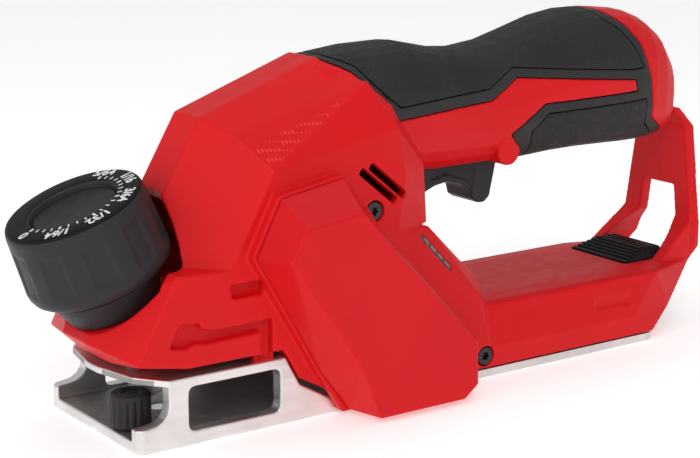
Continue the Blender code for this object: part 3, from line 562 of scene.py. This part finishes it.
def build_knob():
    """Barrel, black face ring, dish, collar and white print of the depth setting."""
    top = KNOB_HEIGHT
    barrel = [(3.5, -3.9), (19.6, -4.0), (21.6, -3.2), (22.9, -2.0), (23.6, -0.4),
              (BARREL_RADIUS, BARREL_FOOT)]
    steps = 40
    for k in range(1, steps + 1):
        height = BARREL_FOOT + (top - 2.6 - BARREL_FOOT) * k / steps
        barrel.append((BARREL_RADIUS - BARREL_DRAFT * k / steps, height))
    barrel += [(22.5, top - 1.5), (22.0, top - 0.7), (21.2, top - 0.15), (20.3, top), (16.0, top),
               (15.0, top - 0.1), (14.5, top - 0.5), (14.2, top - 1.4), (14.1, top - 3.0),
               (3.5, top - 3.0)]
    knob_piece("knob_barrel", barrel, 360, NYLON, "depth_knob", fluted)
    face = [(14.9, top - 0.05), (15.4, top + 0.06), (21.0, top + 0.04), (21.9, top - 0.35),
            (22.3, top - 0.9), (22.0, top - 1.4), (15.0, top - 1.2)]
    knob_piece("knob_face_ring", face, 180, KNOB_TOP)
    dish = [(0, top - 2.6), (13.7, top - 2.6), (13.8, top - 1.9), (13.3, top - 1.7), (12.2, top - 2.0),
            (0, top - 2.2)]
    knob_piece("knob_dish", dish, 120, SLATE, "depth_dial_cap")
    collar = [(8, -14), (14.9, -14), (15.4, -13.4), (15.9, -11.7), (17.4, -8.4), (18.9, -5.2),
              (19.1, -4.5), (8, -4.4)]
    knob_piece("knob_collar", collar, 120, NYLON, "depth_collar")
    build_ticks()
    build_labels()


def knob_piece(name, profile, segments, look, node=None, radius_at=None):
    """A smooth turned piece of the knob, which may replace a CAD node."""
    piece = turned(name, KNOB_FOOT, KNOB_AXIS, profile, segments, radius_at)
    piece.data.shade_smooth()
    if node:
        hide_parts(node)
    dress(piece, "depth_setting", look)


def outwards(angle):
    """Direction on the dial; 0 points to +Y and a quarter turn points forwards."""
    side, forward = axis_frame(KNOB_AXIS)
    return side * math.cos(angle) + forward * math.sin(angle)


def on_dial(radius, angle, lift=0.0):
    """A place just above the knob's face."""
    return KNOB_FOOT + KNOB_AXIS * (KNOB_HEIGHT + 0.02 + lift) + outwards(angle) * radius


def build_ticks():
    """White print: a tick each quarter step of the scale, with a wider one at each whole step."""
    bm = bmesh.new()
    for k in range(SCALE_TICKS + 1):
        angle = SCALE_START - SCALE_TURN * k / SCALE_TICKS
        out = outwards(angle)
        along = out.cross(KNOB_AXIS)
        half = 0.24 if k % 4 else 0.42
        start = on_dial(TICK_RADIUS, angle)
        corners = [start - along * half, start + along * half, start + along * half + out * TICK_LENGTH,
                   start - along * half + out * TICK_LENGTH]
        low = [bm.verts.new(c * MM) for c in corners]
        high = [bm.verts.new((c + KNOB_AXIS * PRINT_THICKNESS) * MM) for c in corners]
        for i in range(4):
            j = (i + 1) % 4
            bm.faces.new((low[i], low[j], high[j], high[i]))
        bm.faces.new(low)
        bm.faces.new(high)
    marks = new_object("scale_ticks", bm)
    dress(marks, "depth_setting", PAINT)


def build_labels():
    """White print: the number at each whole step, its top outwards."""
    for k, text in enumerate(LABELS):
        angle = SCALE_START - SCALE_TURN * k / (len(LABELS) - 1)
        curve = bpy.data.curves.new(f"label_{k}", "FONT")
        curve.body = text
        curve.size = LABEL_SIZE * MM
        curve.align_x = "CENTER"
        curve.align_y = "CENTER"
        curve.extrude = PRINT_THICKNESS / 2 * MM
        curve.offset = 0.11 * MM
        curve.space_character = 0.95
        maker = bpy.data.objects.new(f"maker_{k}", curve)
        bpy.context.scene.collection.objects.link(maker)
        depsgraph = bpy.context.evaluated_depsgraph_get()
        mesh = bpy.data.meshes.new_from_object(maker.evaluated_get(depsgraph))
        bpy.data.objects.remove(maker, do_unlink=True)
        up = outwards(angle)
        right = up.cross(KNOB_AXIS)
        centre = on_dial(LABEL_RADIUS, angle, PRINT_THICKNESS / 2) * MM
        turn = Matrix((right, up, KNOB_AXIS)).transposed().to_4x4()
        mesh.transform(Matrix.Translation(centre) @ turn)
        label = bpy.data.objects.new(f"scale_label_{k}", mesh)
        bpy.context.scene.collection.objects.link(label)
        dress(label, "depth_setting", PAINT)


# ---- shoe, fence lock, latch, trigger ----
# The space inside the shoe's walls, whose faces get painted shade: behind an x, between -y and y, and
# between two heights.
HOLLOW_FRONT = 124.4
HOLLOW_SIDE = 25.8
HOLLOW_FLOOR, HOLLOW_ROOF = 3.0, 21.6


def build_shoe():
    """Milled outside; the faces inside its walls get a darker rough casting, a cast surface with painted
    shade.
    """
    shoe = copy_of("front_shoe_casting", "front_shoe")
    moulded(shoe, 0.32, 2)
    dress(shoe, "front_shoe", MILLED)
    shoe.data.materials.append(SHADED_CAST)
    # faces inside the walls take the darker casting, painted shade
    for face in shoe.data.polygons:
        x, y, z = face.center / MM
        if x < HOLLOW_FRONT and abs(y) < HOLLOW_SIDE and HOLLOW_FLOOR < z < HOLLOW_ROOF:
            face.material_index = 1


def build_fence_lock():
    """A finely ribbed knob with a small plug in its top."""
    low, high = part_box("fence_lock_knob")
    centre = (low + high) / 2 / MM
    foot = low.z / MM
    radius = (high.x - low.x) / 2 / MM
    height = (high.z - low.z) / MM
    ribs, rib_depth = 16, 0.55

    def ribbed(reach, level, angle):
        wave = 0.5 + 0.5 * math.cos(ribs * angle)
        on_side = reach > 5 and 0.8 < level < height - 1.2
        return reach - rib_depth * (1 - wave) ** 2 if on_side else reach

    profile = [(2.4, 0), (radius - 0.6, 0), (radius, 0.5)]
    profile += [(radius, 0.5 + (height - 1.4) * k / 12) for k in range(1, 13)]
    profile += [(radius - 0.5, height - 0.3), (radius - 1.2, height), (3.4, height), (3.0, height - 0.5),
                (2.4, height - 0.7)]
    base, upwards = Vector((centre.x, centre.y, foot)), Vector((0, 0, 1))
    knob = turned("fence_knob", base, upwards, profile, 192, ribbed)
    knob.data.shade_smooth()
    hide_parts("fence_lock_knob")
    dress(knob, "fence_lock", NYLON)
    button = [(0, height - 1.6), (2.3, height - 1.6), (2.3, height - 0.75), (1.8, height - 0.5),
              (0, height - 0.45)]
    plug = turned("fence_knob_plug", base, upwards, button, 48)
    plug.data.shade_smooth()
    dress(plug, "fence_lock", NYLON)


LATCH_FOOT = 23.8  # z above which the latch is made lower
LATCH_SQUASH = 0.68
LATCH_FRONT = -90.6  # x of the front edge, where the ribbed slope starts
LATCH_SLOPE = 0.486
LATCH_EDGE = 4.1  # height of the front edge over LATCH_FOOT in the CAD latch
GROOVES = 5
GROOVE_START = -92.6
GROOVE_PITCH = 1.9
GROOVE_DEPTH = 0.9


def build_latch():
    """A low wedge with ribs across its slope."""
    latch = copy_of("battery_latch_cap", "battery_latch")
    for vertex in latch.data.vertices:
        over = vertex.co.z / MM - LATCH_FOOT
        vertex.co.z = (LATCH_FOOT + over * (LATCH_SQUASH if over > 0 else 1)) * MM
    for k in range(GROOVES):
        centre = GROOVE_START - GROOVE_PITCH * k
        surface = LATCH_FOOT + LATCH_SQUASH * (LATCH_EDGE - (centre - LATCH_FRONT) * LATCH_SLOPE)
        cut(latch, box("groove", (centre - 0.5, -20, surface - GROOVE_DEPTH), (centre + 0.5, 20, 40)))
    moulded(latch, 0.22, 3)
    dress(latch, "battery_latch", BLACK)


TRIGGER_HOLLOW = [(-3.5, 66.5), (-11, 68), (-20.5, 64.5), (-22.5, 60.5), (-23.5, 70), (-4, 71.5)]


def build_trigger():
    """The lever, with a shallow hollow in each side."""
    trigger = copy_of("trigger_lever", "trigger")
    for side in (1, -1):
        cut(trigger, prism_y("hollow", softened(TRIGGER_HOLLOW, 1.2), side * 6.7, side * 9))
    moulded(trigger, 0.3, 8)
    dress(trigger, "trigger", NYLON)


def build_cover_screws():
    """Black screw heads with a six-point star recess."""
    for k in (1, 2):
        node = f"cover_screw_{k}"
        low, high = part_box(node)
        centre = (low + high) / 2 / MM
        top, radius = high.y / MM, (high.x - low.x) / 2 / MM
        screw = copy_of(node + "_head", node)
        star = []
        for corner in range(24):
            reach = radius * (0.52 if corner % 4 < 2 else 0.36)
            angle = 2 * math.pi * corner / 24
            star.append((centre.x + reach * math.cos(angle), centre.z + reach * math.sin(angle)))
        cut(screw, prism_y("star", star, top - 1.3, top + 1))
        crisp(screw, 0.12)
        apply_modifiers(screw)
        dress(screw, "body", BLACK_STEEL)


def build_gauge():
    """Four lamp windows laid in the smoked lens."""
    direction = Vector((0.646, -0.141, 0.75)).normalized()
    normal = Vector((-0.413, 0.762, 0.499))
    normal = (normal - direction * normal.dot(direction)).normalized()
    across = normal.cross(direction)
    turn = Matrix((direction, across, normal)).transposed().to_4x4()
    centre = Vector((9.7, 26.0, 46.1)) * MM
    first, pitch, half = -5.7, 3.8, 1.3
    for k in range(4):
        start, end = first + pitch * k - half, first + pitch * k + half
        outline = softened([(start, -0.7), (end, -0.7), (end, 0.7), (start, 0.7)], 0.4)
        window = skin(f"gauge_lamp_{k + 1}", [[(x, y, z) for x, y in outline] for z in (1.62, 1.75)])
        window.data.transform(Matrix.Translation(centre) @ turn)
        dress(window, "body", LAMP)


# ---- stage ----
TARGET = Vector((25.3, 0, 52.1))
AZIMUTH = math.radians(144.75)  # from the view along +Y, turning towards the view along -X
ELEVATION = math.radians(13.14)
DISTANCE = 615.8
LENS_MM = 92.57
SENSOR_MM = 36.0
SKY = 0.5


def build_camera():
    """The photo's camera, a little above the planer at its front left."""
    level = Vector((math.sin(AZIMUTH), -math.cos(AZIMUTH), 0))
    back = level * math.cos(ELEVATION) + Vector((0, 0, math.sin(ELEVATION)))
    camera = bpy.data.cameras.new("camera")
    camera.lens = LENS_MM
    camera.sensor_width = SENSOR_MM
    camera.clip_start, camera.clip_end = 0.01, 20
    obj = bpy.data.objects.new("camera", camera)
    bpy.context.scene.collection.objects.link(obj)
    obj.location = (TARGET + back * DISTANCE) * MM
    obj.rotation_mode = "QUATERNION"
    obj.rotation_quaternion = (-back).to_track_quat("-Z", "Y")
    bpy.context.scene.camera = obj


def area_light(name, place, aim, size, power):
    """A soft light; places and sizes are in metres and the power is in watts."""
    light = bpy.data.lights.new(name, "AREA")
    light.shape = "RECTANGLE"
    light.size, light.size_y = size
    light.energy = power
    obj = bpy.data.objects.new(name, light)
    bpy.context.scene.collection.objects.link(obj)
    obj.location = place
    obj.rotation_mode = "QUATERNION"
    obj.rotation_quaternion = (Vector(aim) - Vector(place)).to_track_quat("-Z", "Y")


def build_stage():
    """A pale floor that glows a little, an even white sky and three soft lights."""
    look = Look("floor", 0.6)
    look.colour(look.mix(look.noise(6, 3), (0.86, 0.86, 0.86), (0.9, 0.9, 0.9)))
    look.bump((look.noise(300, 2), 0.02, 0.1))
    look.shader.inputs["Emission Color"].default_value = (1, 1, 1, 1)
    look.shader.inputs["Emission Strength"].default_value = 0.42
    bm = bmesh.new()
    reach, drop = 4.0, 0.0002
    corners = [(-reach, -reach), (reach, -reach), (reach, reach), (-reach, reach)]
    bm.faces.new([bm.verts.new((x, y, -drop)) for x, y in corners])
    floor = new_object("floor", bm)
    floor.data.materials.append(look.material)
    world = bpy.data.worlds.new("studio")
    world.use_nodes = True
    background = world.node_tree.nodes["Background"]
    background.inputs["Color"].default_value = (1, 1, 1, 1)
    background.inputs["Strength"].default_value = SKY
    bpy.context.scene.world = world
    area_light("key", (0.55, 0.9, 0.95), (0.02, 0, 0.05), (0.7, 0.5), 4.5)
    area_light("front", (1.1, 0.15, 0.45), (0.05, 0, 0.05), (0.6, 0.6), 2.5)
    area_light("top", (-0.1, -0.1, 1.2), (0, 0, 0), (0.8, 0.5), 1.5)
    bpy.context.scene.view_settings.view_transform = "Standard"


build_camera()
dress_cad_nodes()
build_housing()
build_cover()
build_grips()
build_knob()
build_shoe()
build_fence_lock()
build_latch()
build_trigger()
build_cover_screws()
build_gauge()
build_stage()
